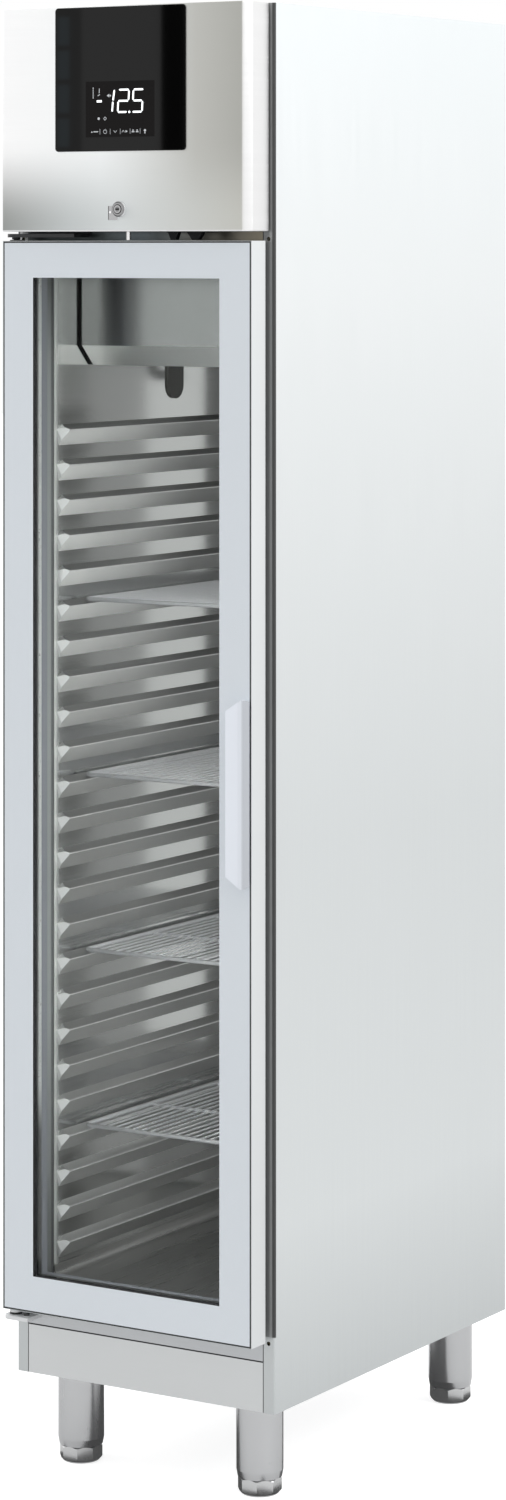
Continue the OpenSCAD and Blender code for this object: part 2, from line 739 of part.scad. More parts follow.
// Chrome collar and body of the lock, with the small riveted plate beside it
module lock_housing() color("silver") place() {
  y = -panel_out;
  difference() {
    union() {
      translate([0, y - 5, lock_z]) rotate([90, 0, 0]) cylinder(r1 = 10.8, r2 = 9, h = 2);
      bar_y(0, lock_z, 10.8, y - 5, y);
      bar_y(0, lock_z, 9.5, y, y + 15);
    }
    bar_y(0, lock_z, lock_r + running, y - 10, y + 20);
  }
  difference() {
    block([-19.5, y - 1.2, lock_z - 15], [-4, y, lock_z + 4.5]);
    bar_y(0, lock_z, 11, y - 3, y + 2);
  }
  bar_y(-15.6, lock_z - 4.2, 1.7, y - 2, y - 0.5);
}

module lock_barrel() color("silver") place() difference() {
  y = -panel_out;
  union() {
    bar_y(0, lock_z, lock_r, y - 7.6, y + 17.3);
    slab_y(y + 15.3, y + 17.3) translate([0, lock_z]) {
      circle(8);
      translate([0, -4]) square([crank_r, 8]);
      translate([crank_r, 0]) circle(4);
    }
    bar_y(crank_r, lock_z, crank_pin_r, y + 17.3, bolt_y + 3);
  }
  block([-3.2, y - 9, lock_z - 1], [3.2, y - 1, lock_z + 1]);
}

// Sliding bolt with the window that the crank pin works in
module lock_bolt() color("silver") place() {
  slab_y(bolt_y - 1.5, bolt_y + 1.5) translate([0, lock_z]) difference() {
    translate([-6, -9]) square([22, 16]);
    translate([-2.6, -4.8]) square([15.2, 7.4]);
  }
  bar_z(0, bolt_y, bolt_r, bolt_tip, lock_z - 9);
}

// Positions of the hinge screws, in X and Z on the cabinet face
module hinge_screw_axes() {
  for (x = [-180, -140, -100]) translate([x, 0, 1646]) children();
  for (x = [-188, -146]) translate([x, 0, 102]) children();
}

module upper_hinge() color(steel) place() difference() {
  union() {
    slab_z(upper_leaf_z, upper_leaf_z + leaf_t) {
      translate([pivot_x, pivot_y]) circle(12);
      translate([pivot_x - 12, pivot_y]) square([120, -pivot_y]);
      translate([pivot_x, pivot_y - 12]) square([108, 12 - pivot_y]);
    }
    block([pivot_x + 5, -3, upper_leaf_z], [pivot_x + 108, 0, 1660]);
    bar_z(pivot_x, pivot_y, 6, upper_leaf_z - 3, upper_leaf_z);
    bar_z(pivot_x, pivot_y, upper_pin_r, door_z1 - 20, upper_leaf_z);
  }
  hinge_screw_axes() bar_y(0, 0, 2.2, -5, cut);
}

module lower_hinge() color(steel) place() difference() {
  z = lower_leaf_z;
  union() {
    slab_z(z, z + leaf_t) {
      translate([pivot_x, pivot_y - 6]) circle(12);
      translate([pivot_x - 12, pivot_y - 6]) square([44, 6 - pivot_y]);
      translate([pivot_x, pivot_y - 18]) square([32, 18 - pivot_y]);
    }
    block([pivot_x + 30, -14, z + 2], [pivot_x + 63, 0, z + leaf_t]);
    block([pivot_x - 8, -3, z], [pivot_x + 63, 0, 112]);
    bar_z(pivot_x, pivot_y, lower_pin_r, z, door_z0 + 22);
    bar_z(pivot_x + 21, pivot_y - 4, 4.5, z + leaf_t, z + leaf_t + 3);
  }
  hinge_screw_axes() bar_y(0, 0, 2.2, -5, cut);
}

module hinge_screws() color("silver") place() hinge_screw_axes() {
  bar_y(0, 0, 4.5, -5.4, -3);
  bar_y(0, 0, 1.9, -3, 10);
}

// Flanged bushes in the door's hinge side; the lower flange carries the door
module hinge_bushes() color(dark) place() translate([pivot_x, pivot_y, 0]) {
  difference() {
    union() {
      bar_z(0, 0, bush_r, door_z1 - bush_len, door_z1);
      bar_z(0, 0, 9, door_z1, door_z1 + 1.5);
    }
    bar_z(0, 0, upper_pin_r + running, door_z1 - bush_len - cut, door_z1 + 5);
  }
  difference() {
    union() {
      bar_z(0, 0, bush_r, door_z0, door_z0 + bush_len);
      bar_z(0, 0, 9, lower_leaf_z + leaf_t + 0.1, door_z0);
    }
    bar_z(0, 0, lower_pin_r + running, door_z0 - 20, door_z0 + bush_len + cut);
  }
}

module handle_screw_axes() for (z = handle_screw_z) translate([handle_screw_x, 0, handle_z + z]) children();

module outer_glass() color("lightblue", 0.35) place() difference() {
  u = 0.7;
  block([-door_hw + u, -door_front, door_z0 + u], [door_hw - u, glass_back, door_z1 - u]);
  handle_screw_axes() bar_y(0, 0, 4, -door_front - cut, glass_back + cut);
}

module inner_glass() color("lightblue", 0.35) place() {
  u = rebate_u + fit_gap;
  block([-door_hw + u, inner_y0, door_z0 + u], [door_hw - u, inner_y1, door_z1 - u]);
}

module glass_spacer() color("#181a1c") place()
  door_ring(door_border - 14, door_border - 0.4, frame_y0, inner_y0);

module glazing_bead() color("silver") place()
  door_ring(rebate_u + fit_gap, door_border - 0.4, inner_y1, bead_y1);

// Section of the door's aluminium profile: u from the outer edge, v from the front
module profile_section() difference() {
  w = profile_u;
  d = frame_y1 - frame_y0;
  t = profile_t;
  web = d * 0.42;
  polygon(rounded([[0, 0], [w, 0], [w, d], [0, d]], [0, 0, 0, 2]));
  translate([t, t]) square([w - 2 * t, web - t]);
  translate([t, web + t]) square([w - 2 * t, d - web - 2 * t]);
}

// Upright and cross profiles, cut to 45 degrees at the corners
module door_stile() intersection() {
  translate([-door_hw, frame_y0, door_z0]) linear_extrude(door_z1 - door_z0) profile_section();
  slab_y(frame_y0, frame_y1) polygon([
    [-door_hw, door_z0], [-door_hw, door_z1],
    [-door_hw + profile_u, door_z1 - profile_u], [-door_hw + profile_u, door_z0 + profile_u]
  ]);
}

module door_rail() intersection() {
  aligned([0, 0, -1], [0, 1, 0], [1, 0, 0], [-door_hw, frame_y0, door_z1])
    linear_extrude(door_w) profile_section();
  slab_y(frame_y0, frame_y1) polygon([
    [-door_hw, door_z1], [door_hw, door_z1],
    [door_hw - profile_u, door_z1 - profile_u], [-door_hw + profile_u, door_z1 - profile_u]
  ]);
}

module door_frame() color(white) place() difference() {
  union() {
    door_stile();
    mirror([1, 0, 0]) door_stile();
    door_rail();
    translate([0, 0, door_z0 + door_z1]) mirror([0, 0, 1]) door_rail();
  }
  bar_z(pivot_x, pivot_y, bush_r + fit_gap, door_z0 - cut, door_z0 + bush_len + cut);
  bar_z(pivot_x, pivot_y, bush_r + fit_gap, door_z1 - bush_len - cut, door_z1 + cut);
  bar_z(0, bolt_y, 6, door_z1 - 12, door_z1 + cut);
  handle_screw_axes() bar_y(0, 0, 2.8, frame_y0 - cut, frame_y1 + cut);
}

// Plastic inner frame that holds the glazing and the gasket
module door_inner_frame() color("#8d949c") place() difference() {
  union() {
    door_ring(pvc_u0, rebate_u, frame_y0, frame_y1);
    door_ring(rebate_u, door_border - 1.5, bead_y1 + fit_gap, frame_y1);
  }
  door_ring(gasket_u - 2, gasket_u + 2, frame_y1 - 5, frame_y1 + cut);
}

// Magnetic gasket: barbed foot, two bellows walls and the magnet pocket
module door_gasket() color("#9da1a4") place() {
  door_ring(gasket_u - 1.6, gasket_u + 1.6, frame_y1 - 4.6, frame_y1);
  door_ring(gasket_u - 7, gasket_u + 7, frame_y1, frame_y1 + 1.4);
  door_ring(gasket_u - 5, gasket_u - 4, frame_y1 + 1.4, -4.2);
  door_ring(gasket_u + 4, gasket_u + 5, frame_y1 + 1.4, -4.2);
  door_ring(gasket_u - 6, gasket_u + 6, -4.2, -0.5);
}

// Plan section of the handle, from the glass outwards
function handle_section() =
  let (x1 = door_hw - 1, x0 = x1 - handle_w, t = 2.7)
  rounded([
    [x1, 0], [x1, -handle_out], [x0, -handle_out], [x0, -handle_out + t],
    [x1 - t, -handle_out + t], [x1 - t, -t], [x1 - 17, -t], [x1 - 17, 0]
  ], [0, 7, 1.3, 1, 4.5, 1.5, 0, 0]);

module handle() color(white) place() {
  hl = handle_len / 2;
  x1 = door_hw;
  x0 = x1 - handle_w - 1.5;
  front = -door_front - handle_out - cut;
  difference() {
    intersection() {
      translate([0, -door_front, handle_z - hl]) linear_extrude(handle_len) polygon(handle_section());
      slab_y(front, -door_front + cut) translate([0, handle_z]) polygon(rounded([
        [x1, -hl], [x1, hl], [x0, hl - handle_slope], [x0, handle_slope - hl]
      ], [2.5, 2.5, 3, 3]));
      slab_x(x0, x1) translate([0, handle_z]) polygon([
        [front, -hl], [-door_front + cut, handle_fall - hl],
        [-door_front + cut, hl - handle_fall], [front, hl]
      ]);
    }
    handle_screw_axes() bar_y(0, 0, 2.4, -door_front - 4, -door_front + cut);
  }
}

module handle_screws() color("silver") place() handle_screw_axes() {
  bar_y(0, 0, 2.4, -door_front - 2.7, frame_y1 - profile_t);
  bar_y(0, 0, 2.7, frame_y1 - profile_t, frame_y1);
}

// Leg tubes with a necked lower end, their mounting studs and threaded end plugs
module legs() color("silver") place()
  for (x = [-leg_x, leg_x], y = [leg_front_y, leg_rear_y]) translate([x, y, 0]) {
    r = leg_d / 2;
    tube_len = leg_clear - foot_h;
    difference() {
      translate([0, 0, -tube_len]) rotate_extrude()
        polygon([[0, 0], [r - neck, 0], [r, neck_h], [r, tube_len], [0, tube_len]]);
      translate([0, 0, -tube_len + 12]) cylinder(r = r - 1.5, h = tube_len - 15);
      translate([0, 0, -tube_len - cut]) cylinder(r = 8 + running, h = 14);
    }
    cylinder(r = 4.9, h = 14);
    translate([0, 0, sheet]) cylinder(r = 9, h = 7, $fn = 6);
  }

// Eight sided foot, turned to a cone above and below, on its threaded stem
module foot() color("silver") place() translate([0, 0, -leg_clear]) {
  r = leg_d / 2 - neck;
  intersection() {
    rotate(22.5) cylinder(r = r, h = foot_h, $fn = 8);
    rotate_extrude() polygon([
      [0, 0], [r - 5.5, 0], [r - 0.2, 6], [r - 0.2, foot_h - 3], [r - 3, foot_h], [0, foot_h]
    ]);
  }
  translate([0, 0, foot_h]) cylinder(r = 8, h = 55);
}

module foot_front_left() translate([-leg_x, leg_front_y, 0]) foot();
module foot_front_right() translate([leg_x, leg_front_y, 0]) foot();
module foot_rear_left() translate([-leg_x, leg_rear_y, 0]) foot();
module foot_rear_right() translate([leg_x, leg_rear_y, 0]) foot();

// Wire shelf: round frame with rounded corners, cross wires and thin wires front to back
module shelf(level) color("silver") place()
  translate([0, shelf_y, runner_z(level) + shelf_lift]) {
    r = frame_wire_r;
    hx = shelf_w / 2 - r;
    y0 = r;
    y1 = shelf_d - r;
    corner = 10;
    for (y = [y0, y1]) bar_x(y, 0, r, -hx + corner, hx - corner);
    for (s = [-1, 1]) bar_y(s * hx, 0, r, y0 + corner, y1 - corner);
    for (s = [-1, 1], y = [y0 + corner, y1 - corner]) translate([s * (hx - corner), y, 0])
      rotate(s > 0 ? (y > shelf_d / 2 ? 0 : -90) : (y > shelf_d / 2 ? 90 : 180))
        rotate_extrude(angle = 90) translate([corner, 0]) circle(r);
    for (y = [shelf_d / 3, 2 * shelf_d / 3]) bar_x(y, -1.2, 2.2, -hx, hx);
    span = shelf_w - 47.6;
    for (i = [0:shelf_wires - 1])
      bar_y(-span / 2 + i * span / (shelf_wires - 1), 1.2, thin_wire_r, y0, y1);
  }

module shelf_1() shelf(shelf_levels[0]);
module shelf_2() shelf(shelf_levels[1]);
module shelf_3() shelf(shelf_levels[2]);
module shelf_4() shelf(shelf_levels[3]);

left_side_panel();
right_side_panel();
back_panel();
rear_grille();
top_cover();
base_panel();
plinth_front();
face_frame();
breaker_frame();
insulation_foam();
machine_deck();
liner_left();
liner_right();
liner_back();
liner_floor();
runners();
led_strip();
air_probe_cover();
evaporator_cover();
evaporator_coil();
evaporator_fan();
evaporator_fan_motor();
drain_pipe();
condensate_tray();
compressor();
condenser_coil();
condenser_shroud();
condenser_fan();
condenser_fan_motor();
refrigerant_pipes();
control_box();
control_panel();
display_glass();
controller_module();
door_sensor();
lock_housing();
lock_barrel();
lock_bolt();
upper_hinge();
lower_hinge();
hinge_screws();
hinge_bushes();
outer_glass();
inner_glass();
glass_spacer();
glazing_bead();
door_frame();
door_inner_frame();
door_gasket();
handle();
handle_screws();
legs();
foot_front_left();
foot_front_right();
foot_rear_left();
foot_rear_right();
shelf_1();
shelf_2();
shelf_3();
shelf_4();
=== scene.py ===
import json
import math

import bmesh
import bpy
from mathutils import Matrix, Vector


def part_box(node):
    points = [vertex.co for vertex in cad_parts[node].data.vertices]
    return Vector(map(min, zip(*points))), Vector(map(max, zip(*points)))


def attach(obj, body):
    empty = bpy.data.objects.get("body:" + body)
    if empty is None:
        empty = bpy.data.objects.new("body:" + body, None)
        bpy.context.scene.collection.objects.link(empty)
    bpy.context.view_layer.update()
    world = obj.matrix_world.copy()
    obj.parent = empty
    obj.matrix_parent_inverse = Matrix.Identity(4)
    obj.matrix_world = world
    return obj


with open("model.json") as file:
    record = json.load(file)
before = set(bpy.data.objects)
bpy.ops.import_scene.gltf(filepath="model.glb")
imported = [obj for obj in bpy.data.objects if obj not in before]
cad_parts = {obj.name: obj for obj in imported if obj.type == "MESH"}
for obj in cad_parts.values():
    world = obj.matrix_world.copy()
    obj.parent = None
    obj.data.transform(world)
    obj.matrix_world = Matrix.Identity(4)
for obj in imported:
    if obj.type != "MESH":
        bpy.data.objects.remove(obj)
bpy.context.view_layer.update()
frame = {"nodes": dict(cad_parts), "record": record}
nodes = frame["nodes"]

# Sizes in millimetres, counted as in part.scad from the cabinet's front face and underside

FRONT_Y = -297.0
LEG_CLEAR = 133.0
DOOR_HALF = 208.0
DOOR_LOW = 100.0
DOOR_HIGH = 1617.0
BORDER = 52.0
SEAM_START = 0.75
SEAM_END = 2.9
GLASS_BACK = -48.0
PANEL_FRONT = -59.5
DISPLAY_FRONT = PANEL_FRONT - 1.5
PRINT_THICK = 0.08

# Places in the row frame, in metres, that the looks are fitted to, from the boxes of the pieces

SIDE_LOW, SIDE_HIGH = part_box("right_side_panel")
PANEL_LOW, PANEL_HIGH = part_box("control_panel")
JAMB_LOW, JAMB_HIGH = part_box("breaker_frame")
FACE_HALF, _, PLINTH_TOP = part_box("plinth_front")[1]
DOOR_BOTTOM, DOOR_TOP = (corner.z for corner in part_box("door_frame"))
HOUSING_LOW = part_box("lock_housing")[0]
BARREL_LOW, BARREL_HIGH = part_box("lock_barrel")
LOCK_Z = (BARREL_LOW.z + BARREL_HIGH.z) / 2

# Other places in the row frame, in metres, where a material changes

FOLD_BACK = -0.237
CAVITY = (0.2, 1.8)
RIVET_X, RIVET_FRONT, RIVET_Z = -0.0156, -0.3578, LOCK_Z - 0.0042
# Where the painted contact shadow at the foot of the lower bush ends
BUSH_SHADOW_TOP = 0.2265
HINGE_LEAF_Z = 0.2243


def place(x, y, z):
    """A point of the cabinet, in the row frame, in metres."""
    return Vector((x, y + FRONT_Y, z + LEG_CLEAR)) / 1000


# Materials

MATERIALS = {}


class Look:
    """A material, with short ways to add the nodes that drive its Principled shader."""

    def __init__(self, name, colour, rough=0.5, metal=0.0, **sockets):
        self.material = bpy.data.materials.new(name)
        self.material.use_nodes = True
        self.tree = self.material.node_tree
        self.shader = self.tree.nodes["Principled BSDF"]
        self.drive("Base Color", (*colour, 1))
        self.drive("Roughness", rough)
        self.drive("Metallic", metal)
        for socket, value in sockets.items():
            self.drive(socket.replace("_", " "), value)

    def feed(self, socket, value):
        """Links a socket to a node's output, or sets it where the value is a plain one."""
        if isinstance(value, bpy.types.NodeSocket):
            self.tree.links.new(value, socket)
        else:
            socket.default_value = value

    def drive(self, socket, value):
        """Feeds one of the Principled shader's own sockets."""
        self.feed(self.shader.inputs[socket], value)

    def show(self, shader):
        """Puts another shader in place of the Principled one."""
        self.feed(self.tree.nodes["Material Output"].inputs["Surface"], shader)
        self.tree.nodes.remove(self.shader)

    def node(self, kind, **values):
        """A new node. Names in small letters are its settings, the others its sockets."""
        node = self.tree.nodes.new("ShaderNode" + kind)
        for key, value in values.items():
            if key.islower():
                setattr(node, key, value)
            else:
                self.feed(node.inputs[key.replace("_", " ")], value)
        return node

    def maths(self, operation, *values):
        node = self.node("Math", operation=operation)
        for socket, value in zip(node.inputs, values):
            self.feed(socket, value)
        return node.outputs[0]

    def both(self, first, second):
        """The product of two masks."""
        return self.maths("MULTIPLY", first, second)

    def mapped(self, value, low, high, kind="LINEAR"):
        """A value counted from 0 at low to 1 at high, and held there."""
        node = self.node("MapRange", interpolation_type=kind, From_Min=low, From_Max=high, Value=value)
        return node.outputs["Result"]

    def coordinate(self, letter, kind="Object"):
        """One axis of a point's place, or with kind Normal of the surface's direction."""
        split = self.node("SeparateXYZ", Vector=self.node("TexCoord").outputs[kind])
        return split.outputs[letter]

    def axis(self, letter, low, high):
        """The place along an axis of the row frame, from 0 at low to 1 at high, in metres."""
        return self.mapped(self.coordinate(letter), low, high)

    def facing(self, letter):
        """How far a surface turns along an axis of its body: 0 against it, 1 along it."""
        return self.mapped(self.coordinate(letter, "Normal"), -1.0, 1.0)

    def past(self, letter, low, high):
        """A mask that is 0 up to low on an axis of the row frame and 1 from high on, in metres."""
        return self.mapped(self.coordinate(letter), low, high, "SMOOTHSTEP")

    def before(self, letter, low, high):
        """A mask that is 1 up to low on an axis of the row frame and 0 from high on, in metres."""
        return self.maths("SUBTRACT", 1.0, self.past(letter, low, high))

    def away(self, x, z, reach):
        """The distance from the line along Y through x and z: 0 on it, 1 at reach, in metres."""
        flat = self.node("VectorMath", operation="MULTIPLY")
        self.feed(flat.inputs[0], self.node("TexCoord").outputs["Object"])
        self.feed(flat.inputs[1], (1, 0, 1))
        apart = self.node("VectorMath", operation="DISTANCE")
        self.feed(apart.inputs[0], flat.outputs[0])
        self.feed(apart.inputs[1], (x, 0, z))
        return self.mapped(apart.outputs["Value"], 0.0, reach)

    def noise(self, scale, detail):
        """Soft noise of the given scale along each axis, round 0.5."""
        place_in_noise = self.node("Mapping", Vector=self.node("TexCoord").outputs["Object"], Scale=scale)
        node = self.node("TexNoise", Vector=place_in_noise.outputs["Vector"], Scale=1.0, Detail=detail,
                         Roughness=0.55)
        return node.outputs["Fac"]

    def bump(self, height, distance, strength):
        node = self.node("Bump", Height=height, Distance=distance, Strength=strength)
        self.drive("Normal", node.outputs["Normal"])

    def curve(self, value, stops):
        """A shade that follows a value through stops, each a place and a grey level or colour."""
        node = self.node("ValToRGB", Fac=value)
        elements = node.color_ramp.elements
        while len(elements) < len(stops):
            elements.new(0.5)
        for element, (at, shade) in zip(elements, stops):
            element.position = at
            element.color = (*shade, 1) if isinstance(shade, tuple) else (shade, shade, shade, 1)
        return node.outputs["Color"]

    def between(self, noise, low, high):
        """A shade from low to high, as a noise goes through its middle range."""
        return self.curve(noise, [(0.3, low), (0.7, high)])

    def mixed(self, mask, first, second, blend="MIX"):
        return self.node("MixRGB", blend_type=blend, Fac=mask, Color1=first, Color2=second).outputs["Color"]

    def change_base(self, mask, shade, blend):
        """Mixes a shade into the base colour so far, where the mask is 1."""
        link = self.shader.inputs["Base Color"].links[0]
        so_far = link.from_socket
        self.tree.links.remove(link)
        self.drive("Base Color", self.mixed(mask, so_far, shade, blend))

    def toned(self, mask, level):
        """Turns the base colour to a grey level where the mask is 1."""
        self.change_base(mask, (level, level, level, 1), "MIX")

    def times_base(self, shade):
        """Multiplies the base colour by a shade."""
        self.change_base(1.0, shade, "MULTIPLY")


def varied(colour, spread):
    """The darkest and the lightest shade of a colour that varies a little."""
    darkest = tuple(part * (1 - spread) for part in colour)
    lightest = tuple(min(1, part * (1 + spread)) for part in colour)
    return darkest, lightest


def brushed(name, colour, rough, lines, metal=1.0, spread=0.04, bump=0.00002, painted_light_and_joints=None):
    """Steel brushed along the axes where lines is small: fine streaks and a soft cloud."""
    look = Look(name, colour, rough, metal)
    streak = look.noise(lines, 4.0)
    cloud = look.noise((3, 3, 3), 2.0)
    mottle = look.maths("MULTIPLY_ADD", streak, 0.6, look.maths("MULTIPLY", cloud, 0.4))
    look.drive("Base Color", look.between(mottle, *varied(colour, spread)))
    look.drive("Roughness", look.between(streak, rough * 0.85, min(1, rough * 1.15)))
    look.bump(streak, bump, 0.3)
    # The given function paints light and shade, and for some pieces dark joints, into the base colour
    if painted_light_and_joints:
        painted_light_and_joints(look)
    MATERIALS[name] = look.material


def coated(name, colour, rough, grain=260, bump=0.00004, spread=0.015, metal=0.0, painted_light_and_joints=None, **sockets):
    """Paint, plastic or rubber with the fine unevenness of its surface."""
    look = Look(name, colour, rough, metal, **sockets)
    fine = look.noise((grain, grain, grain), 2.0)
    cloud = look.noise((4, 4, 4), 2.0)
    look.drive("Base Color", look.between(cloud, *varied(colour, spread)))
    look.drive("Roughness", look.between(fine, rough * 0.9, min(1, rough * 1.1)))
    look.bump(fine, bump, 0.2)
    # The given function paints light and shade, and for some pieces dark joints, into the base colour
    if painted_light_and_joints:
        painted_light_and_joints(look)
    MATERIALS[name] = look.material


def pane(name, tint):
    """A flat pane: what is behind it shows straight through, and its outer faces mirror a little."""
    look = Look(name, tint)
    clear = look.node("BsdfTransparent", Color=(*tint, 1))
    mirror = look.node("BsdfGlossy", Color=(1, 1, 1, 1), Roughness=0.01)
    outside = look.maths("SUBTRACT", 1.0, look.node("NewGeometry").outputs["Backfacing"])
    share = look.both(look.node("Fresnel", IOR=1.12).outputs[0], outside)
    mix = look.node("MixShader", Fac=share)
    look.feed(mix.inputs[1], clear.outputs[0])
    look.feed(mix.inputs[2], mirror.outputs[0])
    look.show(mix.outputs[0])
    MATERIALS[name] = look.material


def glow(name, colour, strength):
    """A lamp or a lit sign."""
    look = Look(name, colour, rough=0.4)
    look.drive("Emission Color", (*colour, 1))
    look.drive("Emission Strength", strength)
    MATERIALS[name] = look.material


# Light and shade painted into the base colours of the pieces, and their dark joints

def panel_painted_reflection(look):
    """The control panel's painted reflection: bright above on the left, a painted fold of shade under it, a
    warm right side.
    """
    across = look.axis("X", PANEL_LOW.x, PANEL_HIGH.x)
    # Painted reflection along the panel: a dark left bevel, bright on the left, darker and warmer to the
    # right, a bright right bevel
    above = look.curve(across, [
        (0.011, 0.07), (0.017, 1.0), (0.42, (0.95, 0.97, 0.97)), (0.8, (0.54, 0.54, 0.51)),
        (0.976, (0.45, 0.45, 0.42)), (0.982, 0.76), (1.0, 0.86)])
    below = look.curve(across, [
        (0.011, 0.06), (0.017, (0.34, 0.35, 0.34)), (0.3, (0.57, 0.6, 0.6)), (0.5, (0.7, 0.73, 0.73)),
        (0.976, (0.58, 0.58, 0.54)), (0.982, 0.76), (1.0, 0.86)])
    fold = look.past("Z", PANEL_LOW.z + 0.0063, PANEL_LOW.z + 0.1323)
    look.times_base(look.mixed(fold, below, above))
    # A painted highlight along the panel's lower lip
    lower_edge_highlight = look.before("Z", PANEL_LOW.z + 0.0015, PANEL_LOW.z + 0.0025)
    look.toned(look.both(lower_edge_highlight, look.past("X", PANEL_LOW.x + 0.005, PANEL_LOW.x + 0.006)), 0.8)


def side_painted_light(look):
    """An outer side sheet: painted light, brightest above, and painted shade of the door on its front
    return.
    """
    height = look.axis("Z", SIDE_LOW.z, SIDE_HIGH.z)
    shade = look.curve(height, [
        (0.0, (0.56, 0.575, 0.58)), (0.13, (0.68, 0.695, 0.7)), (0.4, (0.67, 0.685, 0.69)),
        (0.8, (0.78, 0.79, 0.795)), (1.0, (0.79, 0.81, 0.82))])
    outwards = look.maths("ABSOLUTE", look.coordinate("X"))
    # Painted shade in bands across the front return
    fold = look.curve(look.mapped(outwards, SIDE_LOW.x, SIDE_HIGH.x), [
        (0.0, 0.3), (0.5, 0.3), (0.58, 0.45), (0.74, 0.4), (0.8, 0.1), (1.0, 0.06)])
    front = look.before("Y", SIDE_LOW.y + 0.0025, SIDE_LOW.y + 0.0045)
    beside_door = look.past("Z", DOOR_BOTTOM + 0.005, DOOR_BOTTOM + 0.0065)
    look.times_base(look.mixed(look.both(front, beside_door), shade, fold))


def joint_lines(look):
    """The dark joints at both ends of the plinth and the face."""
    look.toned(look.before("X", -FACE_HALF + 0.0007, -FACE_HALF + 0.001), 0.06)
    look.toned(look.past("X", FACE_HALF - 0.001, FACE_HALF - 0.0007), 0.06)


def plinth_joints(look):
    """The plinth, with the dark joint over it."""
    joint_lines(look)
    look.toned(look.past("Z", PLINTH_TOP - 0.0006, PLINTH_TOP - 0.0003), 0.02)


def face_painted_shade(look):
    """The cabinet's face: painted shade in the gap under the control panel, warmer to the right, and its
    dark joints.
    """
    # Painted shade of the gap under the control panel
    gap = look.curve(look.axis("X", -0.2, 0.2), [
        (0.0, (0.1, 0.11, 0.11)), (0.3, (0.16, 0.18, 0.18)), (0.5, (0.2, 0.23, 0.24)),
        (0.75, (0.28, 0.27, 0.24)), (1.0, (0.42, 0.37, 0.28))])
    open_face = (0.76, 0.77, 0.78, 1)
    in_gap = look.past("Z", DOOR_TOP - 0.012, DOOR_TOP - 0.004)
    look.times_base(look.mixed(in_gap, open_face, gap))
    joint_lines(look)
    look.toned(look.before("Z", PLINTH_TOP + 0.0013, PLINTH_TOP + 0.0016), 0.02)


def lock_painted_reflection(look):
    """Chrome with painted reflections: dark to the left, bright to the right, painted rings round the
    barrel, painted shade in the key slot and on the plate's left end, and a painted highlight on the rivet.
    """
    # Painted reflection: dark where the chrome faces left, bright where it faces right
    look.times_base(look.curve(look.facing("X"), [
        (0.1, 0.06), (0.4, 0.2), (0.5, 0.5), (0.58, 0.6), (0.75, 1.0)]))
    # Painted rings of shade and reflection round the barrel
    outwards = look.away(0, LOCK_Z, 0.02)
    look.times_base(look.curve(outwards, [
        (0.16, 0.5), (0.2, 1.0), (0.27, 0.95), (0.29, 0.08), (0.33, 0.08),
        (0.36, 0.85), (0.42, 0.75), (0.46, 0.3), (0.525, 0.35), (0.535, 1.0)]))
    # Painted shade in the key slot
    centre = look.curve(outwards, [(0.16, 1.0), (0.17, 0.0)])
    in_slot = look.past("Y", BARREL_LOW.y + 0.0004, BARREL_LOW.y + 0.0008)
    look.toned(look.both(centre, in_slot), 0.002)
    # Painted shade along the plate's left end
    left_end = look.before("X", HOUSING_LOW.x + 0.0009, HOUSING_LOW.x + 0.0013)
    behind_front = look.past("Y", HOUSING_LOW.y + 0.0015, HOUSING_LOW.y + 0.002)
    look.toned(look.both(left_end, behind_front), 0.06)
    # A painted highlight on the rivet
    rivet = look.curve(look.away(RIVET_X, RIVET_Z, 0.002), [(0.8, 1.0), (0.86, 0.0)])
    look.toned(look.both(rivet, look.before("Y", RIVET_FRONT, RIVET_FRONT + 0.0001)), 1.0)


def bolt_painted_highlight(look):
    """The lock's bolt, with a painted highlight: brightest towards the right."""
    look.times_base(look.curve(look.facing("X"), [
        (0.2, 0.3), (0.45, 0.5), (0.6, 1.0), (0.95, 1.0), (1.0, 0.6)]))


def cover_painted_light(look):
    """The evaporator cover: painted light makes its folded lower edge brighter than its front."""
    upwards = look.facing("Z")
    look.times_base(look.curve(upwards, [(0.1, 0.85), (0.2, 0.85), (0.4, 0.36), (0.9, 0.36)]))
    look.drive("Roughness", look.curve(upwards, [(0.2, 0.42), (0.4, 0.2)]))


def handle_painted_shade(look):
    """The handle, with painted shade on the side that faces the right."""
    look.times_base(look.curve(look.facing("X"), [(0.5, 1.0), (0.8, 0.85), (0.98, 0.5)]))


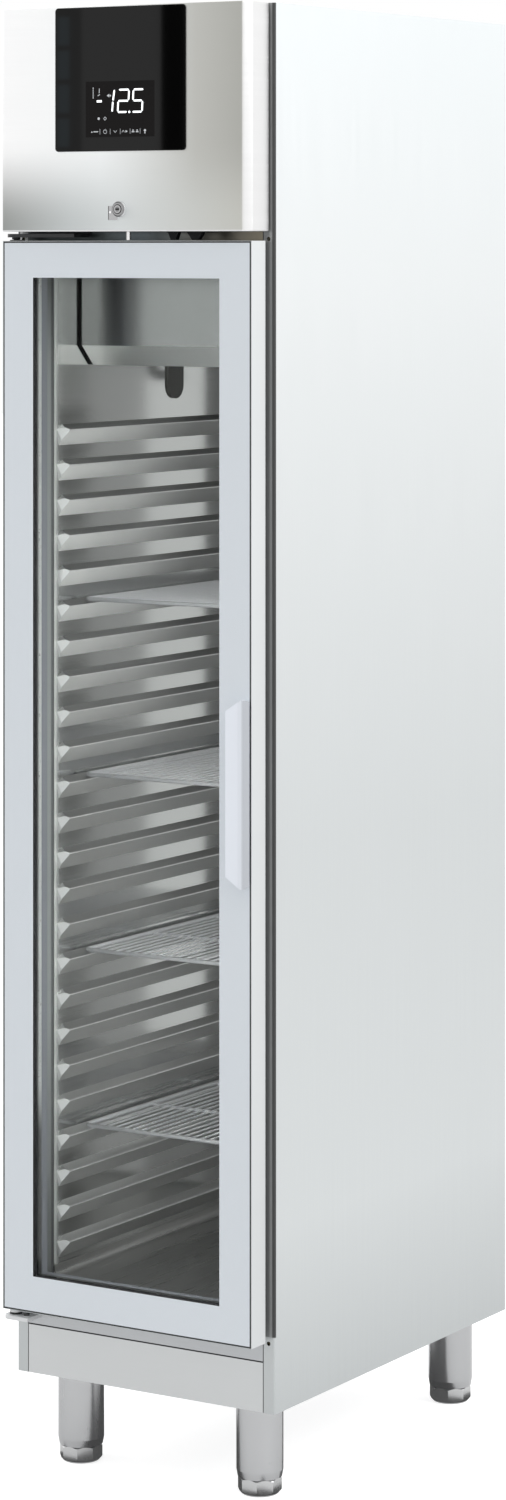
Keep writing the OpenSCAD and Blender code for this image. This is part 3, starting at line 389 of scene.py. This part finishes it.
def runner_painted_light(look):
    """Pressed runners with painted light: their sloping tops painted dark, their undersides and noses
    painted bright.

    The painted light on the undersides fades towards the back and lower down, where only the noses stay
    bright.
    """
    along = look.axis("Y", -0.28, 0.3)
    lit = look.curve(along, [(0.0, 1.0), (0.35, 1.0), (0.62, 0.55)])
    dim = look.curve(along, [(0.0, 0.42), (0.35, 0.6), (1.0, 0.62)])
    lowest = look.curve(along, [(0.0, 0.44), (0.3, 0.38), (1.0, 0.5)])
    low_down = look.before("Z", 0.35, 0.7)
    undersides = look.mixed(low_down, look.mixed(look.past("Z", 0.9, 1.3), dim, lit), lowest)
    low_tops = look.curve(low_down, [(0.0, 0.5), (1.0, 1.0)])
    tops = look.mixed(look.past("Z", 0.75, 1.4), low_tops, (0.28, 0.28, 0.28, 1))
    upwards = look.facing("Z")
    noses = look.curve(upwards, [(0.55, 1.0), (0.78, 0.95)])
    shade = look.mixed(look.curve(upwards, [(0.48, 0.0), (0.52, 1.0)]), undersides, noses)
    look.times_base(look.mixed(look.curve(upwards, [(0.76, 0.0), (0.84, 1.0)]), shade, tops))
    look.drive("Metallic", look.curve(upwards, [(0.3, 0.25), (0.6, 0.4), (0.85, 1.0)]))
    backwards = look.facing("Y")
    # Painted light on the front ends, and a white painted highlight on the bevel under them
    look.toned(look.curve(backwards, [(0.03, 1.0), (0.1, 0.0)]), 0.74)
    look.toned(look.curve(backwards, [(0.06, 0.0), (0.1, 1.0), (0.34, 1.0), (0.4, 0.0)]), 1.0)


def jamb_painted_light(look):
    """The plastic frame of the opening, with painted light and shade in bands from its outer edge to the
    liner, and painted shade towards its top and bottom.
    """
    depth = look.axis("Y", JAMB_LOW.y, JAMB_HIGH.y)
    look.times_base(look.curve(depth, [
        (0.07, (0.5, 0.5, 0.5)), (0.1, (0.93, 0.96, 1.0)), (0.22, (0.93, 0.96, 1.0)),
        (0.3, (0.82, 0.84, 0.76)), (0.66, (0.82, 0.84, 0.76)), (0.73, (0.46, 0.46, 0.44)),
        (0.87, (0.42, 0.42, 0.4)), (0.92, (0.22, 0.22, 0.21))]))
    height = look.axis("Z", *CAVITY)
    look.times_base(look.curve(height, [
        (0.06, 0.5), (0.16, 0.75), (0.3, 0.95), (0.84, 0.95), (0.88, 0.8), (0.93, 0.5)]))


def wall_painted_light(look):
    """The cavity's sides: the fold at the front edge is less metallic and painted brighter as a highlight,
    and low down they are painted darker as shade.
    """
    fold = look.axis("Y", JAMB_HIGH.y, FOLD_BACK)
    look.times_base(look.curve(fold, [(0.12, 0.8), (0.28, 0.76), (0.6, 0.72), (1.0, 0.67)]))
    look.drive("Metallic", look.curve(fold, [(0.1, 0.1), (0.3, 0.75), (0.6, 0.95), (1.0, 1.0)]))
    look.times_base(look.curve(look.axis("Z", *CAVITY), [(0.08, 0.85), (0.2, 0.9), (0.29, 1.0)]))


def bead_painted_light(look):
    """The bead with painted light: bright at the height of the shelves, painted grey as shade under them and
    darkest along the sill.
    """
    look.times_base(look.curve(look.axis("Z", *CAVITY), [
        (0.062, 0.13), (0.07, 0.27), (0.18, 0.27), (0.225, 1.0), (0.84, 1.0), (0.88, 0.85)]))


def wire_painted_shade(look):
    """The shelves' front wires stand in the bright light of the glass and are darkened with painted shade.
    """
    look.times_base(look.curve(look.axis("Y", -0.22, -0.19), [(0.5, 0.5), (0.6, 0.95)]))


def bush_painted_shade(look):
    """The lower bush is pale with a painted contact shadow at its foot, and the upper one is painted black
    as the shade of the gap.
    """
    # Painted contact shadow at the foot of the lower bush
    look.toned(look.before("Z", BUSH_SHADOW_TOP, BUSH_SHADOW_TOP + 0.001), 0.01)
    # The upper bush painted black as shade
    look.toned(look.past("Z", 0.9, 1.0), 0.02)


def boss_painted_shade(look):
    """The pin and the stop on the lower hinge's leaf are painted black as shade."""
    over_leaf = look.past("Z", HINGE_LEAF_Z, HINGE_LEAF_Z + 0.0003)
    look.toned(look.both(over_leaf, look.before("Y", -0.31, -0.307)), 0.02)


# Brushing: the noise's scale along X, Y and Z, small along the lines

UPRIGHT_LINES = (5, 320, 4)
LEVEL_LINES = (8, 8, 600)
DEEP_LINES = (300, 5, 300)
CROSS_LINES = (5, 300, 300)
TUBE_LINES = (60, 60, 6)
FIN_LINES = (300, 300, 20)
FINE_GRAIN = (90, 90, 90)
COPPER_GRAIN = (60, 60, 60)
ZINC_GRAIN = (40, 40, 40)

# Steel

brushed("side_panel_steel", (0.98, 1.0, 1.0), 0.45, UPRIGHT_LINES, metal=0.6, spread=0.006, bump=0.000004,
        painted_light_and_joints=side_painted_light)
brushed("front_steel", (0.63, 0.645, 0.65), 0.36, LEVEL_LINES, metal=0.9, spread=0.015, bump=0.000004,
        painted_light_and_joints=plinth_joints)
brushed("face_steel", (0.66, 0.67, 0.68), 0.36, LEVEL_LINES, metal=0.9, spread=0.015, bump=0.000004,
        painted_light_and_joints=face_painted_shade)
brushed("panel_steel", (0.98, 0.98, 0.98), 0.36, LEVEL_LINES, metal=0.95, spread=0.012, bump=0.000004,
        painted_light_and_joints=panel_painted_reflection)
brushed("liner_steel", (0.66, 0.665, 0.655), 0.15, DEEP_LINES, spread=0.01, bump=0.0)
brushed("wall_steel", (0.95, 0.96, 0.945), 0.13, DEEP_LINES, spread=0.01, bump=0.0, painted_light_and_joints=wall_painted_light)
brushed("runner_steel", (0.99, 0.99, 0.98), 0.35, DEEP_LINES, metal=0.25, spread=0.01, bump=0.0,
        painted_light_and_joints=runner_painted_light)
brushed("floor_steel", (0.58, 0.58, 0.57), 0.3, DEEP_LINES, spread=0.01, bump=0.0)
brushed("cover_steel", (0.95, 0.96, 0.95), 0.12, CROSS_LINES, spread=0.01, bump=0.0, painted_light_and_joints=cover_painted_light)
brushed("galvanised", (0.6, 0.62, 0.64), 0.45, ZINC_GRAIN, metal=0.9, spread=0.08)
brushed("leg_steel", (0.54, 0.545, 0.555), 0.24, TUBE_LINES, spread=0.03, bump=0.0)
brushed("foot_steel", (0.66, 0.665, 0.67), 0.24, TUBE_LINES, spread=0.03, bump=0.0)
brushed("screw_steel", (0.3, 0.3, 0.3), 0.35, FINE_GRAIN, spread=0.05)
brushed("bolt_steel", (0.95, 0.95, 0.95), 0.2, FINE_GRAIN, metal=0.9, spread=0.02, bump=0.000004,
        painted_light_and_joints=bolt_painted_highlight)
coated("hinge_steel", (0.74, 0.75, 0.76), 0.35, painted_light_and_joints=boss_painted_shade)

# Other metals

brushed("chrome", (0.95, 0.95, 0.96), 0.12, FINE_GRAIN, spread=0.02, bump=0.000004, painted_light_and_joints=lock_painted_reflection)
brushed("zinc_wire", (0.93, 0.93, 0.96), 0.42, FINE_GRAIN, metal=0.35, painted_light_and_joints=wire_painted_shade)
brushed("copper", (0.72, 0.4, 0.26), 0.3, COPPER_GRAIN, spread=0.08)
brushed("fins", (0.74, 0.75, 0.76), 0.38, FIN_LINES, spread=0.05)

# Paint

coated("white_aluminium", (0.64, 0.66, 0.665), 0.35)
coated("handle_paint", (0.87, 0.91, 0.98), 0.35, painted_light_and_joints=handle_painted_shade)
coated("shell_paint", (0.02, 0.02, 0.022), 0.35)
# The upper hinge is painted black as the shade in the gap under the control panel
coated("hinge_black", (0.02, 0.02, 0.022), 0.4)

# Plastic, rubber and foam

coated("grey_plastic", (0.3, 0.31, 0.345), 0.4)
coated("jamb_plastic", (0.5, 0.51, 0.56), 0.4, painted_light_and_joints=jamb_painted_light)
coated("bead_white", (0.97, 0.98, 0.975), 0.3, metal=0.5, painted_light_and_joints=bead_painted_light)
coated("bush_plastic", (0.85, 0.86, 0.87), 0.35, painted_light_and_joints=bush_painted_shade)
coated("probe_plastic", (0.085, 0.085, 0.08), 0.5)
coated("sensor_black", (0.004, 0.004, 0.005), 0.5, Specular_IOR_Level=0.15)
coated("black_plastic", (0.025, 0.025, 0.028), 0.5)
coated("gasket_rubber", (0.09, 0.093, 0.095), 0.65)
coated("foam", (0.78, 0.7, 0.45), 0.9, grain=500, bump=0.0002)

# Glass and what is printed on it or shines through it

pane("glass", (0.985, 0.992, 0.99))
coated("panel_glass", (0.002, 0.002, 0.002), 0.03, grain=900, bump=0.0, spread=0.0, Specular_IOR_Level=0.28)
coated("door_print", (0.79, 0.815, 0.87), 0.5, grain=300, bump=0.0, spread=0.004)
coated("door_seam", (0.02, 0.021, 0.023), 0.5)
coated("display_window", (0.006, 0.005, 0.005), 0.2, grain=900, bump=0.000002, spread=0.0,
       Specular_IOR_Level=0.12)
glow("symbol", (0.9, 0.93, 0.95), 0.9)
glow("symbol_dim", (0.5, 0.52, 0.54), 0.25)
glow("led_light", (1.0, 0.99, 0.96), 14.0)


# The solids' own pieces

SLOT_OF = {row["node"]: row["material_slot"] for row in frame["record"]["subparts"]}

# Nodes whose material differs from the plain one of their slot
OWN_LOOK = {
    "air_probe_cover": "probe_plastic",
    "breaker_frame": "jamb_plastic",
    "control_panel": "panel_steel",
    "door_sensor": "sensor_black",
    "evaporator_cover": "cover_steel",
    "face_frame": "face_steel",
    "foot_front_left": "foot_steel",
    "foot_front_right": "foot_steel",
    "foot_rear_left": "foot_steel",
    "foot_rear_right": "foot_steel",
    "glazing_bead": "bead_white",
    "handle": "handle_paint",
    "hinge_bushes": "bush_plastic",
    "led_strip": "led_light",
    "liner_floor": "floor_steel",
    "liner_left": "wall_steel",
    "liner_right": "wall_steel",
    "lock_bolt": "bolt_steel",
    "runners": "runner_steel",
}

# Width of the rounding on folded and moulded edges, in metres
SOFT_EDGES = {
    "runners": 0.0012,
    "handle": 0.0012,
    "evaporator_cover": 0.001,
    "control_panel": 0.0008,
    "door_frame": 0.0006,
    "plinth_front": 0.0006,
    "lower_hinge": 0.0006,
    "upper_hinge": 0.0006,
    "lock_housing": 0.0003,
}
SHARP_ANGLE = 0.5
WELD_DISTANCE = 0.00001


def soften(node, width):
    """Rounds a CAD node's sharp edges a little."""
    weld = node.modifiers.new("weld", "WELD")
    weld.merge_threshold = WELD_DISTANCE
    bevel = node.modifiers.new("bevel", "BEVEL")
    bevel.width = width
    bevel.segments = 2
    bevel.limit_method = "ANGLE"
    bevel.angle_limit = SHARP_ANGLE
    bevel.harden_normals = True


for name, node in nodes.items():
    node.data.materials.clear()
    node.data.materials.append(MATERIALS[OWN_LOOK.get(name, SLOT_OF[name])])

for name, width in SOFT_EDGES.items():
    soften(nodes[name], width)


# New pieces

def new_object(name, data):
    obj = bpy.data.objects.new(name, data)
    bpy.context.scene.collection.objects.link(obj)
    return obj


def mesh_piece(name, build, material, body):
    """A new piece on a body, its mesh made by the build function."""
    bm = bmesh.new()
    build(bm)
    bmesh.ops.recalc_face_normals(bm, faces=bm.faces)
    data = bpy.data.meshes.new(name)
    bm.to_mesh(data)
    bm.free()
    data.materials.append(MATERIALS[material])
    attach(new_object(name, data), body)


def prism(bm, outline, front, back):
    """A flat piece: an outline in X and Z between two places in Y, in millimetres."""
    near = [bm.verts.new(place(x, front, z)) for x, z in outline]
    far = [bm.verts.new(place(x, back, z)) for x, z in outline]
    bm.faces.new(near)
    bm.faces.new(list(reversed(far)))
    count = len(outline)
    for i in range(count):
        j = (i + 1) % count
        bm.faces.new((near[i], near[j], far[j], far[i]))


def inset_corners(inset):
    """The corners of the door's outline, moved inwards."""
    side = DOOR_HALF - inset
    low = DOOR_LOW + inset
    high = DOOR_HIGH - inset
    return [(-side, low), (side, low), (side, high), (-side, high)]


def ring(bm, outer, inner, front, back):
    """A rectangular frame between two insets from the door's outline."""
    section = ((outer, front), (inner, front), (inner, back), (outer, back))
    loops = [[bm.verts.new(place(x, y, z)) for x, z in inset_corners(inset)] for inset, y in section]
    for first, second in zip(loops, loops[1:] + loops[:1]):
        for i in range(4):
            j = (i + 1) % 4
            bm.faces.new((first[i], first[j], second[j], second[i]))


PRINT_Y = GLASS_BACK + 0.05


def border_print(bm):
    """The pale border printed on the back of the door's outer pane."""
    ring(bm, SEAM_END, BORDER, PRINT_Y, GLASS_BACK + 0.2)


def edge_seam(bm):
    """The dark seam round the pane's edge."""
    ring(bm, SEAM_START, SEAM_END, PRINT_Y, GLASS_BACK + 0.28)


mesh_piece("door_border_print", border_print, "door_print", "door")
mesh_piece("door_edge_seam", edge_seam, "door_seam", "door")


# The display's print, in millimetres on the control panel

def printed(bm, outline):
    """An outline printed on the display glass."""
    prism(bm, outline, DISPLAY_FRONT - PRINT_THICK, DISPLAY_FRONT)


def box(left, low, right, high):
    return [(left, low), (right, low), (right, high), (left, high)]


def stroke(bm, points, width):
    """A drawn line of even width with cut corners."""
    for start, end in zip(points, points[1:]):
        start = Vector(start)
        end = Vector(end)
        along = (end - start).normalized()
        side = Vector((-along.y, along.x)) * width / 2
        tip = along * width / 2
        printed(bm, [start - side, end - side, end + tip, end + side, start + side, start - tip])


def disc(bm, x, z, radius, sides=16):
    turns = [2 * math.pi * i / sides for i in range(sides)]
    printed(bm, [(x + radius * math.cos(turn), z + radius * math.sin(turn)) for turn in turns])


SEGMENT = 2.7
TOP_BAR, MIDDLE_BAR, LOW_BAR = 1827.3, 1811.8, 1796.2
POINT_X = 16.2


def digit_one(bm):
    stroke(bm, [(-8.9, 1826.2), (-10.9, 1813.4)], SEGMENT)
    stroke(bm, [(-11.4, 1810.0), (-12.5, 1798.0)], SEGMENT)


def digit_two(bm, left, right):
    stroke(bm, [(left + 1.4, TOP_BAR), (right - 1.2, TOP_BAR)], SEGMENT)
    stroke(bm, [(right + 0.3, TOP_BAR - 2), (right - 0.4, MIDDLE_BAR + 2)], SEGMENT)
    stroke(bm, [(left, MIDDLE_BAR), (right - 2, MIDDLE_BAR)], SEGMENT)
    stroke(bm, [(left - 1.2, MIDDLE_BAR - 2), (left - 2, LOW_BAR + 2)], SEGMENT)
    stroke(bm, [(left - 0.6, LOW_BAR), (right - 4.6, LOW_BAR)], SEGMENT)


def digit_five(bm, left, right):
    stroke(bm, [(left + 1.6, TOP_BAR), (right, TOP_BAR)], SEGMENT)
    stroke(bm, [(left, TOP_BAR - 2), (left - 0.6, MIDDLE_BAR + 2)], SEGMENT)
    stroke(bm, [(left + 1.2, MIDDLE_BAR), (right - 2.2, MIDDLE_BAR)], SEGMENT)
    stroke(bm, [(right - 0.4, MIDDLE_BAR - 2), (right - 1, LOW_BAR + 2)], SEGMENT)
    stroke(bm, [(left - 0.4, LOW_BAR), (right - 2.8, LOW_BAR)], SEGMENT)


def digits(bm):
    """A temperature in slanted seven segment digits, with its point and minus sign."""
    digit_one(bm)
    digit_two(bm, -1.2, 15.4)
    disc(bm, POINT_X, LOW_BAR, 1.7)
    digit_five(bm, 23.0, 38.4)
    printed(bm, box(-38.4, 1810.2, -29.9, 1813.4))


BARS_LOW, BAR_PITCH = 1816.0, 2.7
SIGNS_Z = 1787.6
DIAMOND_X = -24.5
KEYS_Z = 1769.3
KEY_LINES = (-33.0, -15.8, 1.0, 17.5, 34.2)
POWER_X = -24.4
LAMP_X = 42.2


def state_signs(bm):
    """The small signs round the temperature: a column of bars, marks, a dot and a diamond."""
    for i in range(6):
        printed(bm, box(-45.2, BARS_LOW + i * BAR_PITCH, -43.6, BARS_LOW + 1.6 + i * BAR_PITCH))
    stroke(bm, [(-34.0, 1829.2), (-34.3, 1823.4)], 1.1)
    stroke(bm, [(-36.4, 1819.6), (-33.4, 1821.2)], 1.1)
    printed(bm, [(-21.6, 1819.5), (-17.4, 1822.0), (-17.4, 1817.0)])
    disc(bm, -15.6, 1819.5, 1.3)
    disc(bm, -35.1, SIGNS_Z, 2.0, 8)
    corners = [math.pi / 2 * i for i in range(5)]
    stroke(bm, [(DIAMOND_X + 2.4 * math.cos(turn), SIGNS_Z + 2.4 * math.sin(turn)) for turn in corners], 0.8)


def power_key(bm):
    """An open circle with an upright line in its gap."""
    turns = [math.radians(115 + 310 * i / 12) for i in range(13)]
    stroke(bm, [(POWER_X + 2.8 * math.cos(turn), KEYS_Z + 2.8 * math.sin(turn)) for turn in turns], 0.7)
    stroke(bm, [(POWER_X, KEYS_Z + 1.2), (POWER_X, KEYS_Z + 3.6)], 0.7)


def fan_key(bm, x):
    """Three round blades."""
    for i in range(3):
        turn = math.radians(90 + 120 * i)
        disc(bm, x + 1.4 * math.cos(turn), KEYS_Z + 1.4 * math.sin(turn), 1.1, 8)


def lamp_key(bm):
    """A round bulb over its base."""
    disc(bm, LAMP_X, KEYS_Z + 0.8, 1.9, 12)
    printed(bm, box(LAMP_X - 1, KEYS_Z - 3.4, LAMP_X + 1, KEYS_Z - 1.6))


def touch_keys(bm):
    """The row of touch keys: a slider, power, down, up, two fans and a lamp, with lines between."""
    for x in KEY_LINES:
        stroke(bm, [(x, KEYS_Z - 3.6), (x, KEYS_Z + 3.6)], 0.5)
    disc(bm, -46.6, KEYS_Z - 0.4, 1.1, 8)
    stroke(bm, [(-43.6, KEYS_Z), (-36.4, KEYS_Z)], 1.4)
    power_key(bm)
    stroke(bm, [(-9.9, KEYS_Z + 1.2), (-7.4, KEYS_Z - 1.4), (-4.9, KEYS_Z + 1.2)], 0.7)
    stroke(bm, [(3.8, KEYS_Z - 1.2), (6.0, KEYS_Z + 1.4), (8.2, KEYS_Z - 1.2)], 0.7)
    printed(bm, [(9.9, KEYS_Z - 1.8), (9.9, KEYS_Z + 1.8), (13.4, KEYS_Z)])
    fan_key(bm, 22.4)
    fan_key(bm, 29.2)
    lamp_key(bm)


def small_symbols(bm):
    state_signs(bm)
    touch_keys(bm)


def window(bm):
    """The display's window, a little proud of the glass and behind the print."""
    prism(bm, box(-57, 1761.6, 58, 1839.6), DISPLAY_FRONT - 0.03, DISPLAY_FRONT + 0.1)


mesh_piece("display_digits", digits, "symbol", "cabinet")
mesh_piece("display_symbols", small_symbols, "symbol_dim", "cabinet")
mesh_piece("display_window", window, "display_window", "cabinet")


# Stage

WHITE = (1, 1, 1)


def lamp(name, at, target, size, power):
    """A square area lamp that points at a target."""
    data = bpy.data.lights.new(name, "AREA")
    data.size = size
    data.energy = power
    obj = new_object(name, data)
    obj.location = at
    obj.rotation_euler = (Vector(target) - Vector(at)).to_track_quat("-Z", "Y").to_euler()


lamp("key", at=(3.4, 0.6, 3.6), target=(0, 0, 1.3), size=2.4, power=90)
lamp("fill", at=(-3.6, -1.2, 3.4), target=(0, 0, 1.2), size=2.0, power=40)

world = bpy.data.worlds.new("studio")
bpy.context.scene.world = world
world.use_nodes = True
background = world.node_tree.nodes["Background"]
background.inputs["Color"].default_value = (*WHITE, 1)
background.inputs["Strength"].default_value = 1.0


def quad(name, corners, look):
    """A flat piece of the stage."""
    data = bpy.data.meshes.new(name)
    data.from_pydata(corners, [], [(0, 1, 2, 3)])
    data.materials.append(look.material)
    return new_object(name, data)


def level_corners(left, right, front, back, z):
    return [(left, front, z), (right, front, z), (right, back, z), (left, back, z)]


# The floor keeps the shadow, shows white to the camera and a dim grey to what mirrors it
FLOOR_HALF = 30.0
FLOOR_GREY = 0.5
CAMERA_GLOW = 0.8
MIRROR_GLOW = 0.32

floor_look = Look("floor", (FLOOR_GREY, FLOOR_GREY, FLOOR_GREY))
matt = floor_look.node("BsdfDiffuse", Color=(FLOOR_GREY, FLOOR_GREY, FLOOR_GREY, 1))
ray = floor_look.node("LightPath").outputs
mirror_part = floor_look.maths("MULTIPLY", ray["Is Glossy Ray"], MIRROR_GLOW)
floor_glow = floor_look.maths("MULTIPLY_ADD", ray["Is Camera Ray"], CAMERA_GLOW, mirror_part)
floor_sum = floor_look.node("AddShader")
floor_look.feed(floor_sum.inputs[0], matt.outputs[0])
floor_look.feed(floor_sum.inputs[1], floor_look.node("Emission", Strength=floor_glow).outputs[0])
floor_look.show(floor_sum.outputs[0])
floor = quad("floor", level_corners(-FLOOR_HALF, FLOOR_HALF, -FLOOR_HALF, FLOOR_HALF, 0), floor_look)


def card(name, corners, strength, colour=WHITE, one_sided=False):
    """A flat light seen only in reflections, and if one_sided only from its front."""
    look = Look(name, colour)
    light = look.node("Emission", Color=(*colour, 1), Strength=strength).outputs[0]
    if one_sided:
        mix = look.node("MixShader", Fac=look.node("NewGeometry").outputs["Backfacing"])
        look.feed(mix.inputs[1], light)
        look.feed(mix.inputs[2], look.node("BsdfTransparent").outputs[0])
        light = mix.outputs[0]
    look.show(light)
    obj = quad(name, corners, look)
    obj.visible_camera = False
    obj.visible_diffuse = False
    obj.visible_transmission = False
    obj.visible_shadow = False


def upright_card(name, left, right, low, high, y, strength, colour=WHITE, one_sided=False):
    corners = [(left, y, low), (right, y, low), (right, y, high), (left, y, high)]
    card(name, corners, strength, colour, one_sided)


# The back of the cavity as its side walls mirror it: a lit band with duller steel on both sides
BACK_Y = 0.312
BACK_LEFT, BAND_LEFT, BAND_RIGHT, BACK_RIGHT = -0.165, -0.052, 0.059, 0.178
BACK_LOW, BAND_LOW, BACK_HIGH = 0.275, 0.5, 1.56

upright_card("back_dull", BACK_LEFT, BAND_LEFT, BACK_LOW, BACK_HIGH, BACK_Y, 0.13, one_sided=True)
upright_card("back_band", BAND_LEFT, BAND_RIGHT, BAND_LOW, BACK_HIGH, BACK_Y, 0.72, one_sided=True)
upright_card("back_low", BAND_LEFT, BAND_RIGHT, BACK_LOW, BAND_LOW, BACK_Y, 0.2, one_sided=True)
upright_card("back_grey", BAND_RIGHT, BACK_RIGHT, BACK_LOW, BACK_HIGH, BACK_Y, 0.36, one_sided=True)

# Shade under the cabinet, for the legs to mirror
card("under_shade", level_corners(-0.2, 0.2, -0.28, 0.36, 0.002), 0.1)

# What the display glass mirrors: dark on the right, and a column of dim windows on the left
CAMERA = Vector((3.1966, -5.146, 1.7417))
GLASS_Y = place(0, DISPLAY_FRONT, 0).y
MIRROR_Y = -2.4
MIRROR_LOW, MIRROR_HIGH = 1735, 1950
WINDOW_TOP, WINDOW_PITCH, WINDOW_HEIGHT = 1931, 47.5, 40


def seen_in_glass(x, z):
    """The place, at MIRROR_Y, that the camera sees mirrored at x and z of the display glass."""
    at = place(x, 0, z)
    reach = (2 * GLASS_Y - CAMERA.y - MIRROR_Y) / (GLASS_Y - CAMERA.y)
    return CAMERA.x + (at.x - CAMERA.x) * reach, CAMERA.z + (at.z - CAMERA.z) * reach


def mirrored_card(name, left, right, low, high, strength, y=MIRROR_Y, colour=WHITE):
    """A card that shows between the given places of the display glass."""
    first_x, low_z = seen_in_glass(left, low)
    last_x, high_z = seen_in_glass(right, high)
    upright_card(name, min(first_x, last_x), max(first_x, last_x), low_z, high_z, y, strength, colour)


mirrored_card("mirror_dark", 69, 112, MIRROR_LOW, MIRROR_HIGH, 0.0)
mirrored_card("mirror_left", -112, -64, MIRROR_LOW, MIRROR_HIGH, 0.62)
for k in range(5):
    top = WINDOW_TOP - WINDOW_PITCH * k
    mirrored_card(f"mirror_window_{k}", -100, -80, top - WINDOW_HEIGHT, top, 1.0, MIRROR_Y + 0.01,
                  (0.85, 1.0, 1.08))


# Camera

CAMERA_TURN = 31.88

camera_data = bpy.data.cameras.new("camera")
camera_data.lens = 99.2
camera_data.sensor_width = 36
camera_data.shift_y = -0.3355
camera_data.clip_end = 200
camera = new_object("camera", camera_data)
camera.location = CAMERA
camera.rotation_euler = (math.radians(90), 0, math.radians(CAMERA_TURN))
bpy.context.scene.camera = camera
bpy.context.scene.view_settings.view_transform = "Standard"
